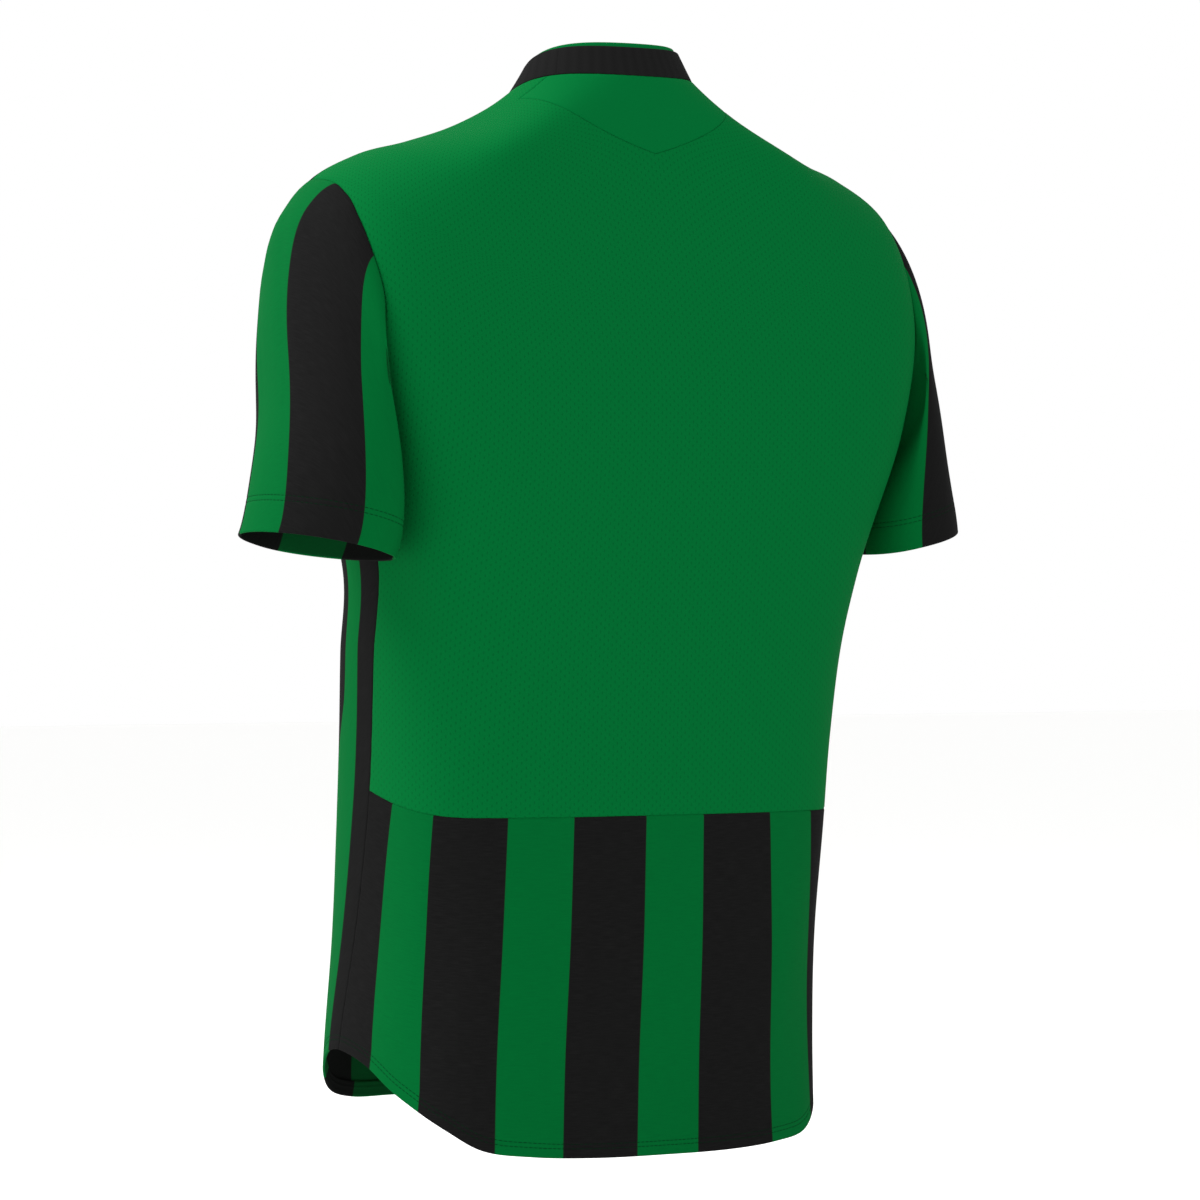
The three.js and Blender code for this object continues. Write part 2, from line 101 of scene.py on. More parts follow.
RINGS = table(
    ("down", "half", "back", "front", "mid",
     "box_back", "box_front", "z_back", "z_side", "z_front", "tilt"), [
        (0, 67, 58, 62, 0, 0.00, 0.00, 10, 3.5, -72, 19),
        (30, 86, 65, 70, -2, 0.08, 0.00, -15.5, -11.5, -95, 3),
        (60, 112, 72, 76, -3, 0.14, 0.01, -48, -25, -122, -5),
        (95, 147, 81, 84, -4, 0.12, 0.02, -80.5, -36, -150, -4),
        (135, 183, 92, 91, -5, 0.08, 0.04, -112, -45.5, -175, -2),
        (180, 221, 102, 96, -6, 0.07, 0.05, -150, -68, -204, 0),
        (240, 233, 103, 107, 1, 0.085, 0.06, -200, -130, -250, 0),
        (300, 214, 98, 108, 5, 0.10, 0.07, -250, -215, -283, 0),
        (375, 188, 89, 90, 8, 0.07, 0.072, -322, -322, -322, 0),
        (430, 180, 93, 101, 0, 0.06, 0.072, -377, -377, -377, 0),
        (490, 173, 98, 107, -8, 0.06, 0.072, -437, -437, -437, 0),
        (550, 170, 103, 114, -15, 0.06, 0.064, -497, -497, -497, 0),
        (620, 168, 109, 121, -23, 0.055, 0.055, -567, -567, -567, 0),
        (700, 172, 111, 122, -30, 0.05, 0.05, -647, -647, -647, 0),
        (780, 176, 111, 120, -32, 0.05, 0.05, -727, -727, -727, 0),
    ])
ARMHOLE = table(
    ("down", "back_end", "front_end"), [
        (ARMHOLE_TOP_DOWN, SHOULDER_SEAM_END, SHOULDER_SEAM_END),
        (176, 86, 109), (183, 76, 116), (195, 68.5, 120.5), (212, 62, 123.5), (240, 57.5, 122),
        (262, 60.5, 116), (282, 66.5, 108), (298, 73, 99), (308, 78.5, 91), (UNDERARM_DOWN, 83.5, 83.5),
    ])
SIDE_SEAM = table(
    ("down", "angle"), [
        (UNDERARM_DOWN, 83.5), (375, 86.8), (430, 91), (485, 93.2), (522, 94), (700, 103), (780, 105)])

# Folds: angle from the centre back, place down the body, lean of the crease, half its length, half its
# width and its depth. A depth below nought is a ridge.
FOLD_SPREAD = 2.2                   # cloth that a degree round the body takes up
FOLDS = table(
    ("angle", "down", "lean", "long", "wide", "deep"), [
        (-38, 700, 75, 90, 26, 3),
        (60, 640, 80, 110, 24, 2.5),
        (-66, 400, 60, 90, 22, 1.0),
        (70, 405, -60, 80, 20, 2.5),
        (150, 560, 78, 120, 26, 3),
        (-150, 610, 100, 120, 28, 3),
    ])


def curve(rows, key, value, x):
    """Soft curve through the rows of a table"""
    xs, ys = rows[key], rows[value]
    step = np.diff(xs)
    rate = np.diff(ys) / step
    slope = np.empty_like(ys)
    slope[1:-1] = (rate[:-1] * step[1:] + rate[1:] * step[:-1]) / (step[:-1] + step[1:])
    slope[0] = 1.5 * rate[0] - 0.5 * slope[1]
    slope[-1] = 1.5 * rate[-1] - 0.5 * slope[-2]
    x = np.clip(x, xs[0], xs[-1])
    i = np.clip(np.searchsorted(xs, x, side="right") - 1, 0, len(xs) - 2)
    t = (x - xs[i]) / step[i]
    return ((2 * t**3 - 3 * t**2 + 1) * ys[i] + (t**3 - 2 * t**2 + t) * step[i] * slope[i]
            + (3 * t**2 - 2 * t**3) * ys[i + 1] + (t**3 - t**2) * step[i] * slope[i + 1])


def between(a, b, t):
    return a + (b - a) * t


def spread(low, high, step, ends=(True, True)):
    """Places from low to high, closer together at the ends that are sewn"""
    near = SEAM_STEPS[:-1]
    first = low + (SEAM_STEPS[-1] if ends[0] else 0)
    last = high - (SEAM_STEPS[-1] if ends[1] else 0)
    middle = np.linspace(first, last, 2 * max(1, round((last - first) / step / 2)) + 1)
    return np.concatenate([low + near if ends[0] else [], middle, high - near[::-1] if ends[1] else []])


def plain_body(angle, down):
    """Points of the body at angles from the centre back towards the wearer's left"""
    angle, down = np.broadcast_arrays(np.asarray(angle, float), np.asarray(down, float))
    a = np.radians(angle)
    behind = np.cos(a) > 0
    ring = {name: curve(RINGS, "down", name, down) for name in RINGS if name != "down"}
    k = np.where(behind, ring["box_back"], ring["box_front"])
    depth = np.where(behind, ring["back"], ring["front"])
    height = np.where(behind, ring["z_back"], ring["z_front"])
    x = ring["half"] * (np.sin(a) + k * np.sin(3 * a)) / (1 - k)
    y = ring["mid"] + depth * (np.cos(a) - k * np.cos(3 * a)) / (1 - k)
    rest = height - ring["z_side"] - np.where(behind, 1, -1) * ring["tilt"]
    z = ring["z_side"] + ring["tilt"] * np.cos(a) + rest * np.abs(np.cos(a)) ** np.where(behind, 2, 3)
    return np.stack([x, y, z], -1)


def unit(vectors):
    return vectors / np.maximum(np.linalg.norm(vectors, axis=-1, keepdims=True), 1e-9)


def fold_depth(angle, down):
    depth = np.zeros(np.broadcast(angle, down).shape)
    for i in range(len(FOLDS["angle"])):
        fold = {name: values[i] for name, values in FOLDS.items()}
        across = (((angle - fold["angle"] + 540) % 360) - 180) * FOLD_SPREAD
        below = down - fold["down"]
        lean = math.radians(fold["lean"])
        along = (across * math.cos(lean) + below * math.sin(lean)) / fold["long"]
        off = (below * math.cos(lean) - across * math.sin(lean)) / fold["wide"]
        depth += fold["deep"] * np.exp(-along**2 - off**2)
    return depth


def body(angle, down):
    """Points of the worn cloth with its folds, and the normals of its form"""
    across = plain_body(angle + 0.5, down) - plain_body(angle - 0.5, down)
    up = plain_body(angle, np.maximum(down - 1, 0)) - plain_body(angle, down + 1)
    normals = unit(np.cross(up, across))
    return plain_body(angle, down) - normals * fold_depth(angle, down)[..., None], normals


def low_seam_down(angle):
    climb = np.maximum(0, (np.abs(angle) - LOW_SEAM_TURN) / (LOW_SEAM_END - LOW_SEAM_TURN))
    return LEVEL - LOW_SEAM_Z - LOW_SEAM_RISE * climb**2


def yoke_down(angle):
    inwards = 1 - np.minimum(np.abs(angle) / YOKE_SIDE_ANGLE, 1)
    return between(YOKE_SIDE_DOWN, YOKE_POINT_DOWN, inwards ** YOKE_BOW)


def end_angle(down, panel):
    """Angle at which a panel ends: at the shoulder seam, the armhole or the side seam"""
    shoulder = between(SHOULDER_SEAM, SHOULDER_SEAM_END, down / ARMHOLE_TOP_DOWN)
    armhole = curve(ARMHOLE, "down", panel, down)
    side = curve(SIDE_SEAM, "down", "angle", down)
    return np.where(down < ARMHOLE_TOP_DOWN, shoulder, np.where(down < UNDERARM_DOWN, armhole, side))


def armhole_rows(count):
    """Rows over the armhole, evenly spaced round its edge"""
    down = np.linspace(ARMHOLE_TOP_DOWN, UNDERARM_DOWN, 3000)
    run = 0
    for panel in ("back_end", "front_end"):
        edge = plain_body(curve(ARMHOLE, "down", panel, down), down)
        run = run + np.append(0, np.cumsum(np.linalg.norm(np.diff(edge, axis=0), axis=1)))
    return np.interp(np.linspace(0, run[-1], count + 1), run, down)


def panel_rows(top):
    """Rows of a panel from its top, past the armhole, to the first level ring"""
    return np.concatenate([spread(top, ARMHOLE_TOP_DOWN, CELL, (True, False)),
                           armhole_rows(ARMHOLE_ROWS)[1:],
                           np.linspace(UNDERARM_DOWN, FLAT_RING_DOWN, SIDE_ROWS)[1:]])[:, None]


def back_angle(share, end):
    return share * end


def following_rows(shares, row_down, panel_angle):
    """A row whose height changes with the angle ends on the side seam at the height it has there"""
    end = float(LOW_SEAM_END)
    for _ in range(20):
        end = float(curve(SIDE_SEAM, "down", "angle", row_down(end)))
    angle = panel_angle(shares, end)
    return angle, row_down(angle)


def arc(points, axis):
    """Length of cloth along a grid of points, from its first row or column"""
    step = np.linalg.norm(np.diff(points, axis=axis), axis=-1)
    return np.concatenate([np.zeros_like(np.take(step, [0], axis)), np.cumsum(step, axis)], axis)


def dense(line, step=0.6):
    """Points close together along a line"""
    run = np.append(0, np.cumsum(np.linalg.norm(np.diff(line, axis=0), axis=1)))
    at = np.linspace(0, run[-1], max(2, int(run[-1] / step)))
    return np.stack([np.interp(at, run, line[:, k]) for k in range(3)], -1)


def roll_in(points, normals, seams, width=SEAM_ROLL, depth=SEAM_DEPTH):
    """Lets the cloth dip towards the seams that are sewn along these lines"""
    flat = points.reshape(-1, 3)
    tree = KDTree(len(flat))
    for i, place in enumerate(flat):
        tree.insert(place, i)
    tree.balance()
    gap = np.full(len(flat), width, float)
    for place in np.concatenate([dense(line) for line in seams]):
        for _, i, distance in tree.find_range(place, width):
            gap[i] = min(gap[i], distance)
    return points - normals * (depth * (1 - gap.reshape(points.shape[:2]) / width) ** 2)[..., None]


def cloth(name, points, normals, uvs, material, keep=None, closed=False, stripes=None, inside=None):
    """A panel of cloth: a grid of points in millimetres becomes a shell with the cloth's thickness.
    Rows past those of the normals are turned up, so their face is the cloth's inside."""
    rows, columns = points.shape[:2]
    bm = bmesh.new()
    bmesh.ops.create_grid(bm, x_segments=columns - 1, y_segments=rows - 1, size=1)
    maps = {"cloth": uvs, "stripes": uvs if stripes is None else stripes}
    layers = {title: bm.loops.layers.uv.new(title) for title in maps}
    place = {}
    for vert in bm.verts:
        r = round((1 - vert.co.y) / 2 * (rows - 1))
        c = round((vert.co.x + 1) / 2 * (columns - 1))
        place[vert] = (r, c)
    for face in bm.faces:
        for loop in face.loops:
            for title, layer in layers.items():
                loop[layer].uv = maps[title][place[loop.vert]] * MM
    for vert, at in place.items():
        vert.co = points[at] * MM
    if keep is not None:
        unwanted = [face for face in bm.faces
                    if not keep[min(place[v][0] for v in face.verts), min(place[v][1] for v in face.verts)]]
        bmesh.ops.delete(bm, geom=unwanted, context="FACES")
    bm.normal_update()
    known = [face for face in bm.faces if place[face.verts[0]][0] < len(normals)]
    outward = sum(face.normal.dot(Vector(normals[place[face.verts[0]]])) * face.calc_area() for face in known)
    if outward < 0:
        bmesh.ops.reverse_faces(bm, faces=bm.faces)
    if closed:
        bmesh.ops.remove_doubles(bm, verts=bm.verts, dist=0.01 * MM)
    for face in bm.faces:
        face.smooth = True
        first_row = min(place[vert][0] for vert in face.verts if vert in place)
        if inside is not None and first_row >= len(normals) + len(FOLD_BENDS):
            face.material_index = 1
    mesh = bpy.data.meshes.new(name)
    bm.to_mesh(mesh)
    bm.free()
    piece = bpy.data.objects.new(name, mesh)
    bpy.context.scene.collection.objects.link(piece)
    mesh.materials.append(material)
    # The inside material, where it is given, carries painted shade on the cloth's inner face.
    if inside is not None:
        mesh.materials.append(inside)
    shell = piece.modifiers.new("cloth thickness", "SOLIDIFY")
    shell.material_offset = 0 if inside is None else 1
    shell.thickness = CLOTH * MM
    shell.offset = -1
    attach(piece, "root")
    return piece


def linear(code):
    """Linear colour of an sRGB hex value"""
    parts = [int(code[i:i + 2], 16) / 255 for i in (1, 3, 5)]
    return [c / 12.92 if c <= 0.04045 else ((c + 0.055) / 1.055) ** 2.4 for c in parts] + [1]


def add(tree, kind, sockets=None, **settings):
    """Adds a node. sockets says what goes into each input: a value, or an output to link"""
    node = tree.nodes.new(kind)
    for key, value in settings.items():
        setattr(node, key, value)
    for key, value in (sockets or {}).items():
        if isinstance(value, bpy.types.NodeSocket):
            tree.links.new(value, node.inputs[key])
        else:
            node.inputs[key].default_value = value
    return node


KNIT_ROUGHNESS = 0.85
KNIT_GLOSS = 0.02                   # knits scatter light between their loops, so they hardly shine


def new_material(title, roughness=KNIT_ROUGHNESS, gloss=KNIT_GLOSS):
    material = bpy.data.materials.new(title)
    material.use_nodes = True
    tree = material.node_tree
    shader = tree.nodes["Principled BSDF"]
    shader.inputs["Roughness"].default_value = roughness
    shader.inputs["Specular IOR Level"].default_value = gloss
    return material, tree, shader


def maths(tree, operation, a, b=0.0):
    return add(tree, "ShaderNodeMath", {0: a, 1: b}, operation=operation).outputs[0]


# Green eyelet knit: polyester, matt, with small upright eyelets in staggered columns.
GREEN = linear("#005b28")
GREEN_DEEP = linear("#00421d")
EYELET_ACROSS = 3.2 * MM
EYELET_DOWN = 5.4 * MM
EYELET_SLIM = (5.5, 4.2)            # how slim an eyelet is in its cell, across and down
EYELET_EDGE = (0.45, 1.1)           # where its dark middle ends and where plain cloth begins
EYELET_SHADE = 0.45

eyelet_knit, tree, shader = new_material("green_eyelet_knit")
uv = add(tree, "ShaderNodeUVMap", uv_map="cloth").outputs[0]
split = add(tree, "ShaderNodeSeparateXYZ", {0: uv})
column = maths(tree, "DIVIDE", split.outputs[0], EYELET_ACROSS)
column_number = maths(tree, "FLOOR", column)
stagger = maths(tree, "MULTIPLY", maths(tree, "MODULO", maths(tree, "ABSOLUTE", column_number), 2.0), 0.5)
row = maths(tree, "ADD", maths(tree, "DIVIDE", split.outputs[1], EYELET_DOWN), stagger)
in_column = maths(tree, "SUBTRACT", maths(tree, "FRACT", column), 0.5)
in_row = maths(tree, "SUBTRACT", maths(tree, "FRACT", row), 0.5)
off_across = maths(tree, "MULTIPLY", in_column, EYELET_SLIM[0])
off_down = maths(tree, "MULTIPLY", in_row, EYELET_SLIM[1])
gap = maths(tree, "SQRT", maths(tree, "ADD", maths(tree, "POWER", off_across, 2.0),
                                maths(tree, "POWER", off_down, 2.0)))
eyelet = add(tree, "ShaderNodeMapRange", {0: gap, 1: EYELET_EDGE[0], 2: EYELET_EDGE[1], 3: 1.0, 4: 0.0},
             interpolation_type="SMOOTHSTEP").outputs[0]
shade = maths(tree, "MULTIPLY", eyelet, EYELET_SHADE)
tone = add(tree, "ShaderNodeMix", {0: shade, 6: GREEN, 7: GREEN_DEEP}, data_type="RGBA").outputs[2]
tree.links.new(tone, shader.inputs["Base Color"])
bump = add(tree, "ShaderNodeBump", {"Strength": 0.35, "Distance": 0.25 * MM, "Height": eyelet}, invert=True)
tree.links.new(bump.outputs[0], shader.inputs["Normal"])

yoke_share = YOKE_SIDE_ANGLE / float(end_angle(YOKE_SIDE_DOWN, "back_end"))
yoke_half = yoke_share * BACK_HALF
tongue = spread(yoke_half, BACK_HALF, CELL)
middle = np.linspace(-yoke_half, yoke_half, 2 * round(yoke_half / CELL) + 1)
back_shares = np.concatenate([-tongue[::-1], middle[1:-1], tongue]) / BACK_HALF
tongue_count = len(tongue) - 1
yoke_turn = np.clip(back_shares / yoke_share, -1, 1)
tongue_turn = np.clip((np.abs(back_shares) - yoke_share) / (1 - yoke_share), 0, 1)

yoke_rows = spread(0, YOKE_SIDE_DOWN, CELL)[:-1, None]
main_rows = panel_rows(YOKE_SIDE_DOWN)
yoke_edge = between(YOKE_NECK_ANGLE, YOKE_SIDE_ANGLE, yoke_rows / YOKE_SIDE_DOWN)
yoke_angles = yoke_turn * between(yoke_edge, end_angle(yoke_rows, "back_end"), tongue_turn)
follow = np.maximum(0, 1 - (main_rows - YOKE_SIDE_DOWN) / (BLEND_DOWN - YOKE_SIDE_DOWN))
point_down = np.where(tongue_turn > 0, 0, yoke_down(np.abs(yoke_turn) * YOKE_SIDE_ANGLE) - YOKE_SIDE_DOWN)
waist = spread(FLAT_RING_DOWN, LEVEL - LOW_SEAM_Z, CELL, (False, True))[1:]
waist = (waist - FLAT_RING_DOWN) / (LEVEL - LOW_SEAM_Z - FLAT_RING_DOWN)
waist_rows = [following_rows(back_shares, lambda a, t=t: between(FLAT_RING_DOWN, low_seam_down(a), t),
                             back_angle) for t in waist]
main_angles = back_angle(back_shares, end_angle(main_rows, "back_end"))
angles = np.concatenate([yoke_angles, main_angles, [row[0] for row in waist_rows]])
downs = np.concatenate([yoke_rows + 0 * yoke_angles, main_rows + point_down * follow,
                        [row[1] for row in waist_rows]])
points, normals = body(angles, downs)
first_main = len(yoke_rows)
yoke_columns = slice(tongue_count, len(back_shares) - tongue_count)
keep = np.ones(points.shape[:2], bool)
keep[:first_main, tongue_count:len(back_shares) - tongue_count - 1] = False
edges = [points[:first_main + 1, tongue_count], points[:first_main + 1, -tongue_count - 1],
         points[first_main, yoke_columns], points[0, :tongue_count + 1], points[0, -tongue_count - 1:],
         points[:, 0], points[:, -1], points[-1]]
centre_column = len(back_shares) // 2
chest_row = first_main + int(np.argmax(main_rows[:, 0] >= UNDERARM_DOWN))
across = arc(points, 1)
along = arc(points, 0)
uvs = np.stack([across - across[:, centre_column:centre_column + 1], along - along[chest_row]], -1)
back_upper = cloth("upper_back_panel", roll_in(points, normals, edges), normals, uvs, eyelet_knit, keep)
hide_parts("back_upper")

# Neck yoke
# A small inset in the shape of a V at the back of the neck, in a plain green knit.
GREEN_PLAIN = linear("#005e2a")
WALE = 1.5 * MM                     # the real wales are finer: this is as fine as shows

plain_knit, tree, shader = new_material("green_plain_knit")
uv = add(tree, "ShaderNodeUVMap", uv_map="cloth").outputs[0]
wales = add(tree, "ShaderNodeTexWave", {"Vector": uv, "Scale": 1 / WALE / 20, "Distortion": 0.6},
            bands_direction="X").outputs[1]
cloud = add(tree, "ShaderNodeTexNoise", {"Vector": uv, "Scale": 900.0, "Detail": 3.0}).outputs[0]
shade = maths(tree, "MULTIPLY", cloud, 0.25)
tone = add(tree, "ShaderNodeMix", {0: shade, 6: GREEN_PLAIN, 7: GREEN_DEEP}, data_type="RGBA").outputs[2]
tree.links.new(tone, shader.inputs["Base Color"])
bump = add(tree, "ShaderNodeBump", {"Strength": 0.2, "Distance": 0.1 * MM, "Height": wales})
tree.links.new(bump.outputs[0], shader.inputs["Normal"])

turn = spread(-yoke_half, yoke_half, 3) / yoke_half
share = (spread(0, YOKE_POINT_DOWN, 3) / YOKE_POINT_DOWN)[:, None]
angles = turn * between(YOKE_NECK_ANGLE, YOKE_SIDE_ANGLE, share)
points, normals = body(angles, share * yoke_down(angles))
edges = [points[0], points[-1], points[:, 0], points[:, -1]]
across = arc(points, 1)
uvs = np.stack([across - across[:, len(turn) // 2:len(turn) // 2 + 1], arc(points, 0)], -1)
yoke = cloth("neck_yoke_inset", roll_in(points, normals, edges), normals, uvs, plain_knit)
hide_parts("neck_yoke")

# Lower back
# The shirt-tail below the low back seam, in striped interlock. Its hem is dropped and curved, turned up
# once and held by twin-needle stitching.
HEM_BACK_Z = -713
HEM_NOTCH_Z = -644
HEM_FRONT_Z = -685
TAIL_HEIGHT = 200                   # of the lower back, from its seam to the stitched hem
HEM_FOLD = 0.85                     # radius of the folded edge
HEM_TURN = 11                       # width of cloth turned up inside
HEM_NEEDLES = (6.5, 9.5)            # the two rows of stitches above the edge
NEEDLE_PULL = 0.25                  # how far the thread draws the cloth in
HEM_STEPS = np.array([HEM_FOLD, 2, 3.5, 5, 5.8, 6.5, 7.2, 8, 8.8, 9.5, 10.2, 11, 13])
DEGREE = 2.6                        # cloth that a degree takes up at the hem
STRIPE_GREEN = 44
STRIPE_REPEAT = 95

HEM_BACK = table(("angle", "climb"), [
    (0, 0), (15, 0.005), (30, 0.04), (44, 0.12), (54, 0.29), (65.5, 0.48), (75.5, 0.65), (86, 0.85),
    (98, 0.975), (104, 1)])
HEM_FRONT = table(("angle", "climb"), [
    (104, 1), (112, 0.93), (122, 0.62), (134, 0.2), (146, 0.03), (160, 0), (180, 0)])


def hem_down(angle):
    turned = np.abs(((np.asarray(angle, float) + 540) % 360) - 180)
    back = between(HEM_BACK_Z, HEM_NOTCH_Z, curve(HEM_BACK, "angle", "climb", turned))
    front = between(HEM_FRONT_Z, HEM_NOTCH_Z, curve(HEM_FRONT, "angle", "climb", turned))
    return LEVEL - np.where(turned < HEM_FRONT["angle"][0], back, front)


def hem_slope(angle):
    """Slope of the hem, in radians, from the change of its height over a few degrees"""
    return np.arctan((hem_down(angle + 2) - hem_down(angle - 2)) / (4 * DEGREE))


def above_hem(angle, step):
    return hem_down(angle) - step / np.cos(hem_slope(angle))


def needle_dip(step, needles):
    return NEEDLE_PULL * sum(np.exp(-((step - needle) / 0.6) ** 2) for needle in needles)


def turned_up(points, normals, steps, turn):
    """Rows that fold the cloth's edge over and lay it against its inside"""
    edge, out = points[-1], normals[-1]
    tip = edge - points[-2]
    tip /= np.linalg.norm(tip, axis=-1, keepdims=True)
    bends = np.radians(FOLD_BENDS)[:, None, None]
    fold = edge + tip * HEM_FOLD * np.sin(bends) - out * HEM_FOLD * (1 - np.cos(bends))
    inside = [i for i in range(len(steps)) if steps[i] <= turn]
    lining = np.stack([points[-1 - i] - normals[-1 - i] * 2 * HEM_FOLD for i in inside])
    return np.concatenate([points, fold, lining])


# Edges of the stripes across the lower back: place in the repeat, and real distance from the centre back
# at the low seam and at the hem. The cloth is eased in more on the wearer's right.
STRIPE_EDGES = table(
    ("pattern", "seam", "hem"), [
        (-262, -275, -300),
        (-212, -223, -248),
        (-168, -180, -204),
        (-117, -128, -152),
        (-73, -84, -98),
        (-22, -25, -27),
        (22, 22, 23),
        (73, 78, 80),
        (117, 125, 128),
        (168, 176, 188),
        (212, 213, 240),
        (262, 265, 290),
    ])

# Striped interlock: polyester knitted in green and black bands, smooth, with a faint heather in the black.
STRIPE_BLACK = linear("#111111")
STRIPE_BLACK_PALE = linear("#171717")
STRIPE_GREEN_COLOUR = linear("#005625")
STRIPE_EDGE = 0.5                   # width over which one colour turns into the next
PAST_NOUGHT = 20 * STRIPE_REPEAT    # moves every place on the cloth past nought, for the remainder
HEATHER_SCALE = (90, 1500, 1)       # streaks about 11 mm long and 0.7 mm high
# how far the inside's painted shade mixes its colour towards near-black
INSIDE_PAINTED_SHADE = 0.5

interlock, tree, shader = new_material("striped_interlock_knit")
uv = add(tree, "ShaderNodeUVMap", uv_map="cloth").outputs[0]
stripes = add(tree, "ShaderNodeSeparateXYZ", {0: add(tree, "ShaderNodeUVMap", uv_map="stripes").outputs[0]})
shifted = maths(tree, "ADD", stripes.outputs[0], (STRIPE_GREEN / 2 + PAST_NOUGHT) * MM)
in_repeat = maths(tree, "MODULO", shifted, STRIPE_REPEAT * MM)
off_green = maths(tree, "ABSOLUTE", maths(tree, "SUBTRACT", in_repeat, STRIPE_GREEN / 2 * MM))
ends = [(STRIPE_GREEN - STRIPE_EDGE) / 2 * MM, (STRIPE_GREEN + STRIPE_EDGE) / 2 * MM]
is_black = add(tree, "ShaderNodeMapRange", {0: off_green, 1: ends[0], 2: ends[1]}).outputs[0]
drawn_out = add(tree, "ShaderNodeMapping", {0: uv, 3: HEATHER_SCALE}).outputs[0]
streaks = add(tree, "ShaderNodeTexNoise", {"Vector": drawn_out, "Scale": 1.0, "Detail": 4.0}).outputs[0]
heather = add(tree, "ShaderNodeMapRange", {0: streaks, 1: 0.4, 2: 0.75}).outputs[0]
black = add(tree, "ShaderNodeMix", {0: heather, 6: STRIPE_BLACK, 7: STRIPE_BLACK_PALE},
            data_type="RGBA").outputs[2]
shade = maths(tree, "MULTIPLY", heather, 0.3)
green = add(tree, "ShaderNodeMix", {0: shade, 6: STRIPE_GREEN_COLOUR, 7: GREEN_DEEP},
            data_type="RGBA").outputs[2]
tone = add(tree, "ShaderNodeMix", {0: is_black, 6: green, 7: black}, data_type="RGBA").outputs[2]
tree.links.new(tone, shader.inputs["Base Color"])
wales = add(tree, "ShaderNodeTexWave", {"Vector": uv, "Scale": 1 / WALE / 20, "Distortion": 0.6},
            bands_direction="X").outputs[1]
bump = add(tree, "ShaderNodeBump", {"Strength": 0.18, "Distance": 0.1 * MM, "Height": wales})
tree.links.new(bump.outputs[0], shader.inputs["Normal"])

# The inside of the same knit is darkened halfway towards near-black: painted shade, for the shade that falls
# inside the shirt.
interlock_painted_shade_inside = interlock.copy()
interlock_painted_shade_inside.name = "striped_interlock_painted_shade_inside"
tree = interlock_painted_shade_inside.node_tree
shader = tree.nodes["Principled BSDF"]
face_tone = shader.inputs["Base Color"].links[0].from_socket
painted_shade_tone = add(tree, "ShaderNodeMix", {0: INSIDE_PAINTED_SHADE, 6: face_tone, 7: linear("#0a0e0b")},
           data_type="RGBA").outputs[2]
tree.links.new(painted_shade_tone, shader.inputs["Base Color"])


def hem_uvs(uvs, angle):
    """Cloth places of the folded and turned-up rows, mirrored in the hem's edge"""
    slope = hem_slope(angle)
    edge = uvs[-1]
    fold = np.repeat(edge[None], len(FOLD_BENDS), 0)
    reach = np.array([step for step in HEM_STEPS if step <= HEM_TURN])[:, None] / np.cos(slope)
    across = edge[:, 0] - reach * np.sin(2 * slope)
    down = edge[:, 1] + reach * np.cos(2 * slope)
    return np.concatenate([uvs, fold, np.stack([across, down], -1)])


hem_lines = []


def hemmed(points, normals, edges, angles, downs, uvs, stripe_uvs):
    """Rolls a body panel's sewn edges in, sinks its needle rows and turns up its hem"""
    dips = needle_dip((hem_down(angles) - downs) * np.cos(hem_slope(angles)), HEM_NEEDLES)
    points = roll_in(points, normals, edges) - normals * dips[..., None]
    hem_lines.extend((points[-1 - list(HEM_STEPS).index(step)], normals[-1]) for step in HEM_NEEDLES)
    points = turned_up(points, normals, HEM_STEPS, HEM_TURN)
    return points, hem_uvs(uvs, angles[-1]), hem_uvs(stripe_uvs, angles[-1])


tail = spread(0, TAIL_HEIGHT, 1.2 * CELL, (True, False)) / TAIL_HEIGHT
tail_rows = [following_rows(back_shares,
                            lambda a, t=t: between(low_seam_down(a), above_hem(a, HEM_STEPS[-1]), t),
                            back_angle) for t in tail]
tail_rows += [following_rows(back_shares, lambda a, s=s: above_hem(a, s), back_angle)
              for s in HEM_STEPS[-2::-1]]
angles = np.array([row[0] for row in tail_rows])
downs = np.array([row[1] for row in tail_rows])
points, normals = body(angles, downs)
edges = [points[0], points[:, 0], points[:, -1]]
across = arc(points, 1)
along = arc(points, 0)
across -= across[:, centre_column:centre_column + 1]
uvs = np.stack([across, along], -1)
fallen = (downs[:, centre_column] - downs[0, centre_column]) / (LOW_SEAM_Z - HEM_BACK_Z)
stripe_u = np.stack([np.interp(row, between(STRIPE_EDGES["seam"], STRIPE_EDGES["hem"], t),
                               STRIPE_EDGES["pattern"]) for row, t in zip(across, fallen)])
stripe_uvs = np.stack([stripe_u, along], -1)
points, uvs, stripe_uvs = hemmed(points, normals, edges, angles, downs, uvs, stripe_uvs)
back_lower = cloth("lower_back_panel", points, normals, uvs, interlock, stripes=stripe_uvs,
                   inside=interlock_painted_shade_inside)
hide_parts("back_lower")

# Front
# One panel of the striped interlock from the forward shoulder seams to the hem, with a green stripe down its
# middle. Its hem is turned up as the back's is and climbs to a notch at each side seam.
FRONT_HALF = 233                    # half the cut width between the side seams
FRONT_FALL_ROWS = 70
WAIST_DOWN = 405                    # the stripe beside each side seam is drawn narrower at the waist
WAIST_REACH = 85
WAIST_DRAW = 27
WAIST_PATTERN = (60, 155, 190, 212)  # places in the repeat between which it is drawn

front_shares = spread(-FRONT_HALF, FRONT_HALF, CELL)[::-1] / FRONT_HALF
top_rows = panel_rows(0)


def front_angle(share, end):
    return 180 - share * (180 - end)


